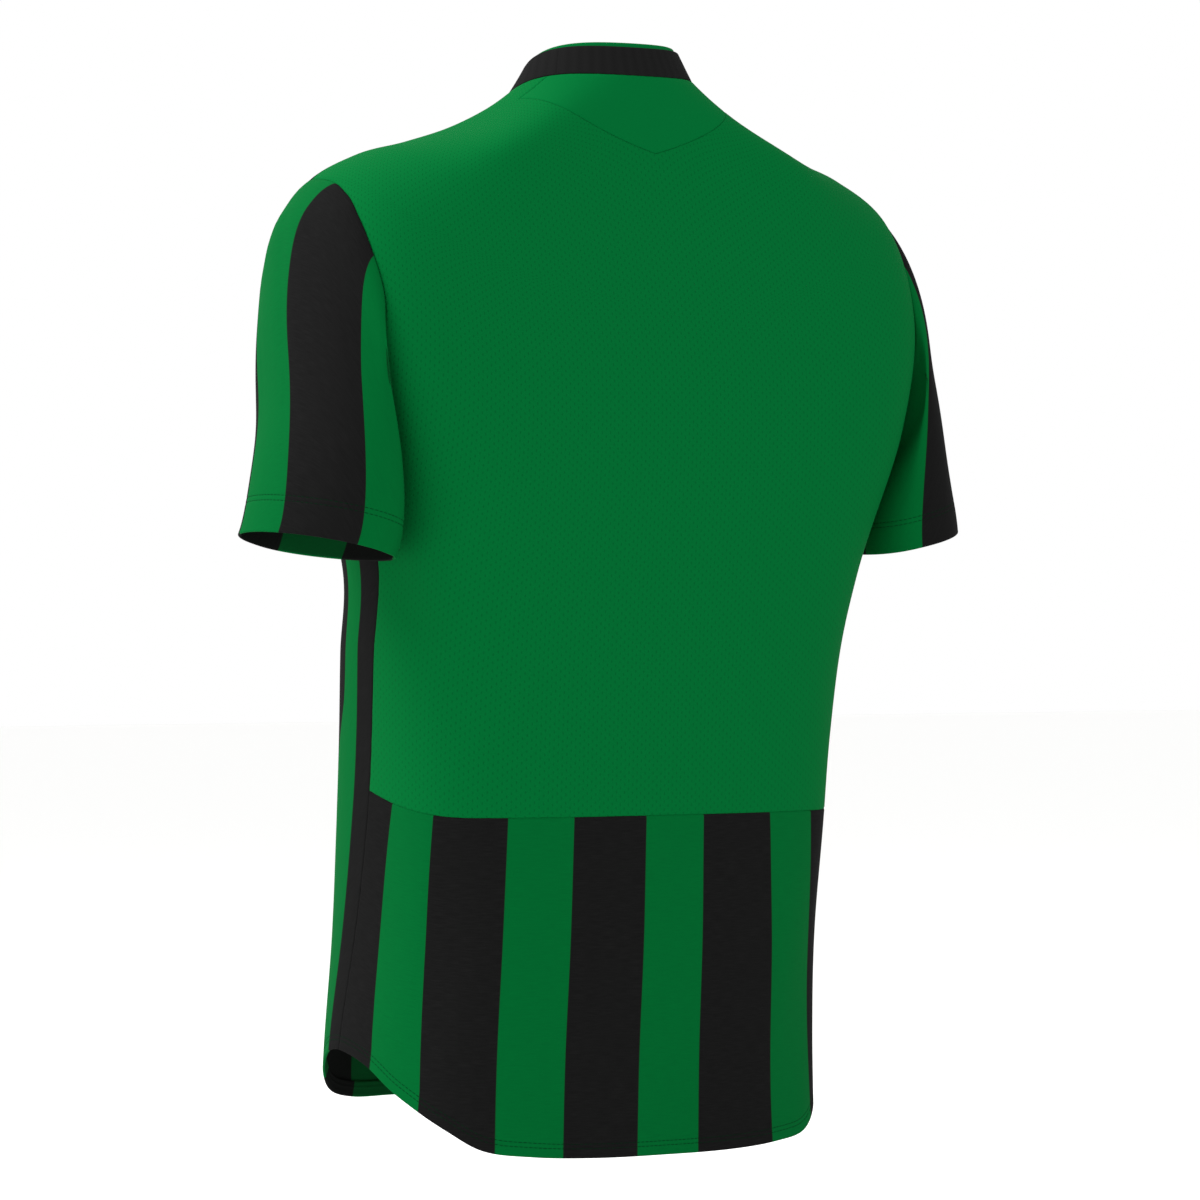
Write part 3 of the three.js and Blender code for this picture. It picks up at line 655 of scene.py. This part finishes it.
front_rows = [following_rows(front_shares,
                             lambda a, t=t: between(FLAT_RING_DOWN, above_hem(a, HEM_STEPS[-1]), t),
                             front_angle) for t in np.linspace(0, 1, FRONT_FALL_ROWS)[1:]]
front_rows += [following_rows(front_shares, lambda a, s=s: above_hem(a, s), front_angle)
               for s in HEM_STEPS[-2::-1]]
top_angles = front_angle(front_shares, end_angle(top_rows, "front_end"))
angles = np.concatenate([top_angles, [row[0] for row in front_rows]])
downs = np.concatenate([top_rows + 0 * front_shares, [row[1] for row in front_rows]])
points, normals = body(angles, downs)
edges = [points[0], points[:, 0], points[:, -1]]
across = arc(points, 1)
middle_column = len(front_shares) // 2
across -= across[:, middle_column:middle_column + 1]
uvs = np.stack([across, arc(points, 0)], -1)
underarm_row = int(np.argmax(top_rows[:, 0] >= UNDERARM_DOWN))
half_width = np.maximum.accumulate(np.where(np.arange(len(across)) < underarm_row, 0, 1)) * across[:, -1]
half_width[:underarm_row] = half_width[underarm_row]
stripe_u = across * (FRONT_HALF / half_width)[:, None]
at_waist = np.exp(-((downs - WAIST_DOWN) / WAIST_REACH) ** 4)
drawn = np.interp(np.abs(stripe_u), WAIST_PATTERN, (0, 1, 1, 0))
stripe_u -= np.sign(stripe_u) * WAIST_DRAW * at_waist * drawn
stripe_uvs = np.stack([stripe_u, uvs[..., 1]], -1)
points, uvs, stripe_uvs = hemmed(points, normals, edges, angles, downs, uvs, stripe_uvs)
front = cloth("front_panel", points, normals, uvs, interlock, stripes=stripe_uvs, inside=interlock_painted_shade_inside)
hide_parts("front")

# Sleeves
# Set-in short sleeves of the striped interlock, each closed by an underarm seam. The hem is turned up 26 mm
# and held by twin-needle stitching.
CUFF = {"x": 240, "y": 21, "z": -308.5, "out": 40, "inner": 35, "flat": 0.7, "depth": 59, "turn": 15,
        "rise": 0.247, "lift": 0.009}
CUFF_WAY = np.array([0.3, -0.25, -1]) * 130
CUFF_STEPS = np.array([HEM_FOLD, 2.5, 5, 8, 11, 14, 17, 19.5, 20.8, 21.5, 22.2, 23.2, 24.3, 25, 25.7, 26.5,
                       29])
CUFF_TURN = 26.5
CUFF_NEEDLES = (21.5, 25)
SLEEVE_ROWS = 56
SLEEVE_TURN_STEP = 3.2              # degrees
SLEEVE_REPEATS = 3                  # repeats of the stripes round a sleeve
SLEEVE_STRIPES = {                  # where the pattern starts, part of the way round, and how many degrees
    "left": (0.065, 25),            # the stripes turn forward at the top of the armhole
    "right": (-0.012, -30),
}
STRIPE_LEAN_END = 0.5               # part of the way down at which the stripes no longer turn
# Soft folds of the sleeves: turn, part of the way down, half their width in degrees, half their length as a
# part of the way, and depth. A depth below nought is a ridge.
SLEEVE_FOLDS = {
    "left": table(
        ("turn", "fall", "wide", "long", "deep"), [
            (-25, 0.60, 50, 0.16, 5),
            (-20, 0.20, 45, 0.10, -2.5),
            (75, 0.38, 30, 0.14, 3),
            (150, 0.30, 35, 0.12, 2.5),
        ]),
    "right": table(
        ("turn", "fall", "wide", "long", "deep"), [
            (-10, 0.72, 50, 0.15, 2.5),
            (40, 0.42, 40, 0.14, 2),
            (-80, 0.35, 40, 0.16, 3),
            (140, 0.36, 35, 0.14, 2.5),
        ]),
}
SLEEVE_DRAWN = {"left": 1, "right": 7}  # how far each hem is drawn up above the cut
SIDES = {"left": 1, "right": -1}
FOLD_FREE = 0.16                    # part of the way, at the armhole and at the hem, over which folds die out
SLEEVE_OUT = table(
    ("turn", "out", "back", "down", "pull"), [
        (-50, 0.82, -0.08, -0.56, 140),
        (0, 0.88, 0.00, -0.48, 150),
        (50, 0.76, 0.20, -0.62, 125),
        (90, 0.45, 0.45, -0.78, 115),
        (135, 0.36, 0.38, -0.85, 80),
        (180, 0.30, 0.00, -0.95, 60),
        (225, 0.45, -0.25, -0.86, 70),
        (270, 0.66, -0.22, -0.72, 110),
        (310, 0.82, -0.08, -0.56, 140),
        (360, 0.88, 0.00, -0.48, 150),
        (410, 0.76, 0.20, -0.62, 125),
    ])


def cuff_point(turn):
    a = np.radians(turn)
    c = np.cos(a)
    out = np.where(c > 0, CUFF["out"] * c, -CUFF["inner"] * np.abs(c) ** CUFF["flat"])
    aside = CUFF["depth"] * np.sin(a)
    t = math.radians(CUFF["turn"])
    x = out * math.cos(t) - aside * math.sin(t)
    y = out * math.sin(t) + aside * math.cos(t)
    return np.stack([CUFF["x"] + x, CUFF["y"] + y, CUFF["z"] + CUFF["rise"] * x + CUFF["lift"] * y], -1)


def armhole_place(turn):
    """Place on the body of a turn round the sleeve: 0 over the shoulder, 180 at the underarm, back first"""
    down = armhole_rows(600)
    place = []
    for panel, way in (("back_end", 1), ("front_end", -1)):
        line = body(curve(ARMHOLE, "down", panel, down), down)[0]
        run = arc(line, 0)
        at = np.interp(np.clip(way * turn, 0, 180), 180 * run / run[-1], down)
        place.append((curve(ARMHOLE, "down", panel, at), at))
    behind = turn >= 0
    return np.where(behind, place[0][0], place[1][0]), np.where(behind, place[0][1], place[1][1])


def sleeve_lines(turn, t):
    """Points down the sleeve from the armhole at t = 0 to the hem at t = 1, a column for each turn"""
    start = body(*armhole_place(turn))[0]
    end = cuff_point(turn)
    way = {name: curve(SLEEVE_OUT, "turn", name, turn % 360) for name in ("out", "back", "down", "pull")}
    leave = unit(np.stack([way["out"], way["back"], way["down"]], -1)) * way["pull"][:, None]
    t = t[:, None, None]
    return (start * (2 * t**3 - 3 * t**2 + 1) + leave * (t**3 - 2 * t**2 + t)
            + end * (3 * t**2 - 2 * t**3) + CUFF_WAY * (t**3 - t**2))


def round_the_hem(turn):
    """Part of the way round the sleeve's hem, from the top"""
    line = np.linspace(-240, 240, 1441)
    run = arc(cuff_point(line), 0)
    run = (run - np.interp(0, line, run)) / (np.interp(180, line, run) - np.interp(-180, line, run))
    return np.interp(turn, line, run)


turns = spread(-180, 180, SLEEVE_TURN_STEP)
line_steps = np.linspace(0, 1, 240)
lines = sleeve_lines(turns, line_steps)
run = arc(lines, 0)
length = run[-1]
wanted = np.concatenate([SEAM_STEPS[:-1, None] + 0 * length,
                         np.linspace(SEAM_STEPS[-1], length - CUFF_STEPS[-1], SLEEVE_ROWS),
                         length - CUFF_STEPS[-2::-1, None]])
points = np.stack([np.stack([np.interp(wanted[:, c], run[:, c], lines[:, c, k]) for k in range(3)], -1)
                   for c in range(len(turns))], 1)
fall = np.stack([np.interp(wanted[:, c], run[:, c], line_steps) for c in range(len(turns))], 1)
wrapped = np.concatenate([points[:, -2:-1], points, points[:, 1:2]], 1)
normals = unit(np.cross(np.gradient(points, axis=0), np.gradient(wrapped, axis=1)[:, 1:-1]))
if (normals * (points - points.mean(1, keepdims=True))).sum() < 0:
    normals = -normals
across = arc(points, 1)
across -= across[:, len(turns) // 2:len(turns) // 2 + 1]
uvs = np.stack([across, wanted], -1)
dips = needle_dip(length - wanted, CUFF_NEEDLES)
points = roll_in(points, normals, [points[0], points[:, 0]]) - normals * dips[..., None]
cuff_lines = {}
underarm_line = (points[:, 0], normals[:, 0])


def cuff_uvs(uvs):
    """Cloth places of the sleeve hem's folded rows"""
    edge = uvs[-1]
    fold = np.repeat(edge[None], len(FOLD_BENDS), 0)
    lining = [np.stack([edge[:, 0], edge[:, 1] + step], -1) for step in CUFF_STEPS if step <= CUFF_TURN]
    return np.concatenate([uvs, fold, lining])


needle_rows = [-1 - list(CUFF_STEPS).index(step) for step in CUFF_NEEDLES]
fade = np.clip(np.minimum(fall, 1 - fall) / FOLD_FREE, 0, 1) ** 2
for side, mirror in SIDES.items():
    flip = np.array([mirror, 1, 1])
    folds = SLEEVE_FOLDS[side]
    depth = sum(deep * np.exp(-((turns - turn) / wide) ** 2 - ((fall - down) / long) ** 2)
                for turn, down, wide, long, deep in zip(*folds.values()))
    shaped = points - normals * (depth * fade)[..., None] + fall[..., None] ** 2 * [0, 0, SLEEVE_DRAWN[side]]
    cuff_lines[side] = [(shaped[row], normals[row]) for row in needle_rows]
    shaped = turned_up(shaped, normals, CUFF_STEPS, CUFF_TURN)
    start, turned = SLEEVE_STRIPES[side]
    lean = turned * np.clip(1 - fall / STRIPE_LEAN_END, 0, 1) ** 1.7
    pattern_turn = turns - lean * np.maximum(0, np.cos(0.75 * np.radians(turns - 10)))
    stripe_u = (round_the_hem(pattern_turn) + start) * SLEEVE_REPEATS * STRIPE_REPEAT
    stripe_uvs = cuff_uvs(np.stack([stripe_u, wanted], -1))
    sleeve = cloth("sleeve_panel_" + side, shaped * flip, normals * flip, cuff_uvs(uvs), interlock,
                   closed=True, stripes=stripe_uvs, inside=interlock_painted_shade_inside)
    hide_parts("sleeve_" + side)

# Collar
# A low stand-up band on the neck seam: black rib outside, and inside it a green layer that stands a little
# proud of the black at the back. Both are closed by one join at the back.
BAND_HEIGHT = 21.5
BAND_LEAN = 22
BAND_LEAN_FRONT = 44
BAND_PROUD = 4
BAND_FOOT = 0.1
BAND_ROUND = 1.0                    # radius of the black layer's top edge
BAND_JOIN = 57                      # degrees from the centre back to the join
BAND_ROWS = [5, 8, 11, 14, 17, 19]  # heights of the black layer's plain rows
INNER_INSET = 1.8
INNER_FOLD = 0.9
INNER_FACE = 5                      # how far down behind the black layer the green one's face reaches
INNER_FOOT = 1.0                    # inset of its foot, and the height over which it draws in
INNER_FOOT_HEIGHT = 7
RIB = 1.3 * MM                      # the real ribs are finer: this is as fine as shows

black_rib, tree, shader = new_material("black_rib_knit")
uv = add(tree, "ShaderNodeUVMap", uv_map="cloth").outputs[0]
ribs = add(tree, "ShaderNodeTexWave", {"Vector": uv, "Scale": 1 / RIB / 20, "Distortion": 0.4},
           bands_direction="X").outputs[1]
tone = add(tree, "ShaderNodeMix", {0: ribs, 6: linear("#151515"), 7: linear("#171717")},
           data_type="RGBA").outputs[2]
tree.links.new(tone, shader.inputs["Base Color"])
bump = add(tree, "ShaderNodeBump", {"Strength": 0.05, "Distance": 0.1 * MM, "Height": ribs})
tree.links.new(bump.outputs[0], shader.inputs["Normal"])

neck = spread(BAND_JOIN, BAND_JOIN + 360, 2)
seam = plain_body(neck, 0)
along = unit(plain_body(neck + 1, 0) - plain_body(neck - 1, 0))
out = unit(np.cross(along, [0, 0, -1]))
out *= np.sign((out * seam * [1, 1, 0]).sum(-1, keepdims=True))
lean = np.radians(between(BAND_LEAN, BAND_LEAN_FRONT, np.sin(np.radians(neck) / 2) ** 2))[:, None]
rise = np.array([0, 0, 1]) * np.cos(lean) - out * np.sin(lean)
rise = unit(rise - along * (rise * along).sum(-1, keepdims=True))
band_out = unit(np.cross(along, rise))
band_out *= np.sign((band_out * out).sum(-1, keepdims=True))
proud = BAND_PROUD * np.cos(np.radians(neck) / 2) ** 2


def band(insets, heights):
    """Rows of a collar layer: how far inside the neck seam they lie, and how high"""
    return seam + rise * heights[..., None] - band_out * insets[..., None]


quarter = np.radians([0, 22.5, 45, 67.5, 90])[:, None] + 0 * neck
foot_rows = (BAND_FOOT + np.append(SEAM_STEPS, BAND_ROWS))[:, None] + 0 * neck
heights = np.concatenate([foot_rows, BAND_HEIGHT - BAND_ROUND + BAND_ROUND * np.sin(quarter)])
insets = np.concatenate([0 * foot_rows, BAND_ROUND * (1 - np.cos(quarter))])
points = band(insets, heights)
band_normals = np.repeat(band_out[None], len(points), 0)
round_band = arc(seam[None], 1)[0]
uvs = np.stack([round_band + 0 * heights, heights], -1)
points = roll_in(points, band_normals, [points[0], points[:, 0]], width=1.0, depth=0.25)
collar_outer = cloth("collar_band_outer", points, band_normals, uvs, black_rib, closed=True)
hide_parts("collar_outer")

top = BAND_HEIGHT + proud - INNER_FOLD
half_turn = np.radians(np.linspace(0, 180, 7))[:, None] + 0 * neck
face = BAND_HEIGHT - INNER_FACE + (top - BAND_HEIGHT + INNER_FACE) * np.linspace(0, 0.9, 5)[:, None]
inside = top * np.linspace(0.95, 0, 12)[:, None]
heights = np.concatenate([face, top + INNER_FOLD * np.sin(half_turn), np.maximum(inside, BAND_FOOT)])
foot_ease = np.clip(inside / INNER_FOOT_HEIGHT, 0, 1)
foot_ease = foot_ease * foot_ease * (3 - 2 * foot_ease)
insets = np.concatenate([0 * face + INNER_INSET, INNER_INSET + INNER_FOLD * (1 - np.cos(half_turn)),
                         between(INNER_FOOT, INNER_INSET + 2 * INNER_FOLD, foot_ease)])
points = band(insets, heights)
uvs = np.stack([round_band + 0 * heights, arc(points, 0)], -1)
face_normals = np.repeat(band_out[None], len(face), 0)
collar_inner = cloth("collar_band_inner", points, face_normals, uvs, plain_knit, closed=True)
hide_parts("collar_inner")

# Seam allowances
# Inside every seam the two raw edges are overlocked together and lie flat, seven millimetres wide.
ALLOWANCE_ACROSS = (-1.2, 0, 3.5, 7)  # from just past the seam to the overlocked edge
ALLOWANCE_INSIDE = 1.25
ALLOWANCE_THICKNESS = 0.7
SEAM_POINTS = 60
LONG_SEAM_POINTS = 160

overlock, tree, shader = new_material("overlock_thread")
uv = add(tree, "ShaderNodeTexCoord").outputs[3]
fuzz = add(tree, "ShaderNodeTexNoise", {"Vector": uv, "Scale": 800.0, "Detail": 2.0}).outputs[0]
tone = add(tree, "ShaderNodeMix", {0: fuzz, 6: linear("#00441f"), 7: linear("#006a33")},
           data_type="RGBA").outputs[2]
tree.links.new(tone, shader.inputs["Base Color"])
bump = add(tree, "ShaderNodeBump", {"Strength": 0.5, "Distance": 0.3 * MM, "Height": fuzz})
tree.links.new(bump.outputs[0], shader.inputs["Normal"])


def new_piece(name, bm, material):
    """Turns a bmesh into a piece that moves with the garment"""
    for face in bm.faces:
        face.smooth = True
    mesh = bpy.data.meshes.new(name)
    bm.to_mesh(mesh)
    bm.free()
    piece = bpy.data.objects.new(name, mesh)
    bpy.context.scene.collection.objects.link(piece)
    mesh.materials.append(material)
    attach(piece, "root")
    return piece


def allowance(bm, line, normals, side):
    """A strip that lies inside the cloth, on one side of a seam"""
    into = side * unit(np.cross(normals, np.gradient(line, axis=0)))
    rows = np.stack([line + into * width - normals * ALLOWANCE_INSIDE for width in ALLOWANCE_ACROSS])
    made = bmesh.ops.create_grid(bm, x_segments=len(line) - 1, y_segments=len(rows) - 1, size=1)
    for vert in made["verts"]:
        r = round((1 - vert.co.y) / 2 * (len(rows) - 1))
        c = round((vert.co.x + 1) / 2 * (len(line) - 1))
        vert.co = rows[r, c] * MM


bm = bmesh.new()
t = np.linspace(0, 1, SEAM_POINTS)
for side in (-1, 1):
    shoulder = ARMHOLE_TOP_DOWN * t
    allowance(bm, *body(side * end_angle(shoulder * 0.999, "back_end"), shoulder), -side)
    for panel, way in (("back_end", 1), ("front_end", -1)):
        hole = armhole_rows(SEAM_POINTS)
        allowance(bm, *body(side * curve(ARMHOLE, "down", panel, hole), hole), side * way)
    seam_down = between(UNDERARM_DOWN, LEVEL - HEM_NOTCH_Z - HEM_TURN, t)
    allowance(bm, *body(side * curve(SIDE_SEAM, "down", "angle", seam_down), seam_down), side)
    beside_yoke = np.linspace(0, 1, 8)
    yoke_line = side * between(YOKE_NECK_ANGLE, YOKE_SIDE_ANGLE, beside_yoke)
    allowance(bm, *body(yoke_line, YOKE_SIDE_DOWN * beside_yoke), -side)
    line, line_normals = underarm_line
    allowance(bm, line[2:-8] * [side, 1, 1], line_normals[2:-8] * [side, 1, 1], side)
v_line = np.linspace(-YOKE_SIDE_ANGLE, YOKE_SIDE_ANGLE, 80)
allowance(bm, *body(v_line, yoke_down(v_line)), 1)
low_line = np.linspace(-LOW_SEAM_END, LOW_SEAM_END, LONG_SEAM_POINTS)
allowance(bm, *body(low_line, low_seam_down(low_line)), -1)
neck_line = np.linspace(0, 360, LONG_SEAM_POINTS)
allowance(bm, *body(neck_line, 0 * neck_line), 1)
allowances = new_piece("overlocked_seam_allowances", bm, overlock)
shell = allowances.modifiers.new("allowance thickness", "SOLIDIFY")
shell.thickness = ALLOWANCE_THICKNESS * MM
shell.offset = 0

# Hem stitching
# Two rows of twin-needle stitches hold the turned-up hems, in a dark green thread that sinks into the cloth.
STITCH_PITCH = 3.4
STITCH_LENGTH = 2.9
THREAD = 0.42
STITCH_PROUD = 0.15                 # part of the thread's thickness by which its middle stands out
THREAD_ROUGHNESS = 0.8

thread, tree, shader = new_material("polyester_thread", THREAD_ROUGHNESS)
place = add(tree, "ShaderNodeTexCoord").outputs[3]
twist = add(tree, "ShaderNodeTexNoise", {"Vector": place, "Scale": 3000.0}).outputs[0]
tone = add(tree, "ShaderNodeMix", {0: twist, 6: linear("#001a0c"), 7: linear("#022a14")},
           data_type="RGBA").outputs[2]
tree.links.new(tone, shader.inputs["Base Color"])

bm = bmesh.new()
bmesh.ops.create_uvsphere(bm, u_segments=6, v_segments=5, radius=1)
stitch = bpy.data.meshes.new("stitch")
bm.to_mesh(stitch)
bm.free()


def stitch_places(line, normals):
    """Stitches end to end along a line on the cloth, each half sunk into it"""
    run = arc(line, 0)
    for at in np.arange(STITCH_PITCH / 2, run[-1], STITCH_PITCH):
        ends = [Vector([np.interp(at + half, run, line[:, k]) for k in range(3)])
                for half in (-STITCH_LENGTH / 2, STITCH_LENGTH / 2)]
        out = Vector([np.interp(at, run, normals[:, k]) for k in range(3)]).normalized()
        along = (ends[1] - ends[0]).normalized()
        aside = out.cross(along).normalized()
        turn = Matrix((aside, out, along)).transposed().to_4x4()
        size = Matrix.Diagonal((THREAD / 2 * MM, THREAD / 2 * MM, STITCH_LENGTH / 2 * MM, 1))
        yield Matrix.Translation(((ends[0] + ends[1]) / 2 + out * THREAD * STITCH_PROUD) * MM) @ turn @ size


def stitching(name, lines):
    places = [place for line, normals in lines for place in stitch_places(line, normals)]
    bm = bmesh.new()
    for _ in places:
        bm.from_mesh(stitch)
    bm.verts.ensure_lookup_table()
    count = len(stitch.vertices)
    for i, place in enumerate(places):
        for vert in bm.verts[i * count:(i + 1) * count]:
            vert.co = place @ vert.co
    return new_piece(name, bm, thread)


stitching("body_hem_stitches", hem_lines)
for side, mirror in SIDES.items():
    flip = np.array([mirror, 1, 1])
    stitching("sleeve_hem_stitches_" + side,
              [(line * flip, normals * flip) for line, normals in cuff_lines[side]])

# Studio
# A plain pale floor well below the hem, even white light all round, a softbox high up at the left of the view
# and a weaker one above the shoulders at its right.
FLOOR_Z = -0.79
FLOOR_SIZE = 30
KEY = {"aside": -1.8, "behind": 0.1, "up": 1.75, "size": 1.6, "power": 76}
FILL = {"aside": 0.9, "behind": 1.2, "up": 1.9, "size": 1.8, "power": 15}

bm = bmesh.new()
bmesh.ops.create_grid(bm, x_segments=1, y_segments=1, size=FLOOR_SIZE / 2)
mesh = bpy.data.meshes.new("floor")
bm.to_mesh(mesh)
bm.free()
mesh.transform(Matrix.Translation((0, 0, FLOOR_Z)))
floor = bpy.data.objects.new("floor", mesh)
bpy.context.scene.collection.objects.link(floor)
floor_finish, tree, shader = new_material("pale_floor", 0.9, 0.5)
shader.inputs["Base Color"].default_value = linear("#fdfdfc")
mesh.materials.append(floor_finish)

bpy.context.scene.view_settings.view_transform = "Standard"
world = bpy.data.worlds.new("studio")
world.use_nodes = True
world.node_tree.nodes["Background"].inputs[0].default_value = linear("#ffffff")
world.node_tree.nodes["Background"].inputs[1].default_value = 1.0
bpy.context.scene.world = world


def softbox(name, aside, behind, up, size, power):
    """A square light that faces the middle of the garment, placed from the camera's point of view"""
    middle = Vector((0, 0, VIEW_HEIGHT))
    place = middle + view_back * behind + view_right * aside + Vector((0, 0, up))
    light = bpy.data.lights.new(name, "AREA")
    light.size = size
    light.energy = power
    lamp = bpy.data.objects.new(name, light)
    lamp.location = place
    lamp.rotation_mode = "QUATERNION"
    lamp.rotation_quaternion = (middle - place).to_track_quat("-Z", "Y")
    bpy.context.scene.collection.objects.link(lamp)


softbox("key", **KEY)
softbox("fill", **FILL)
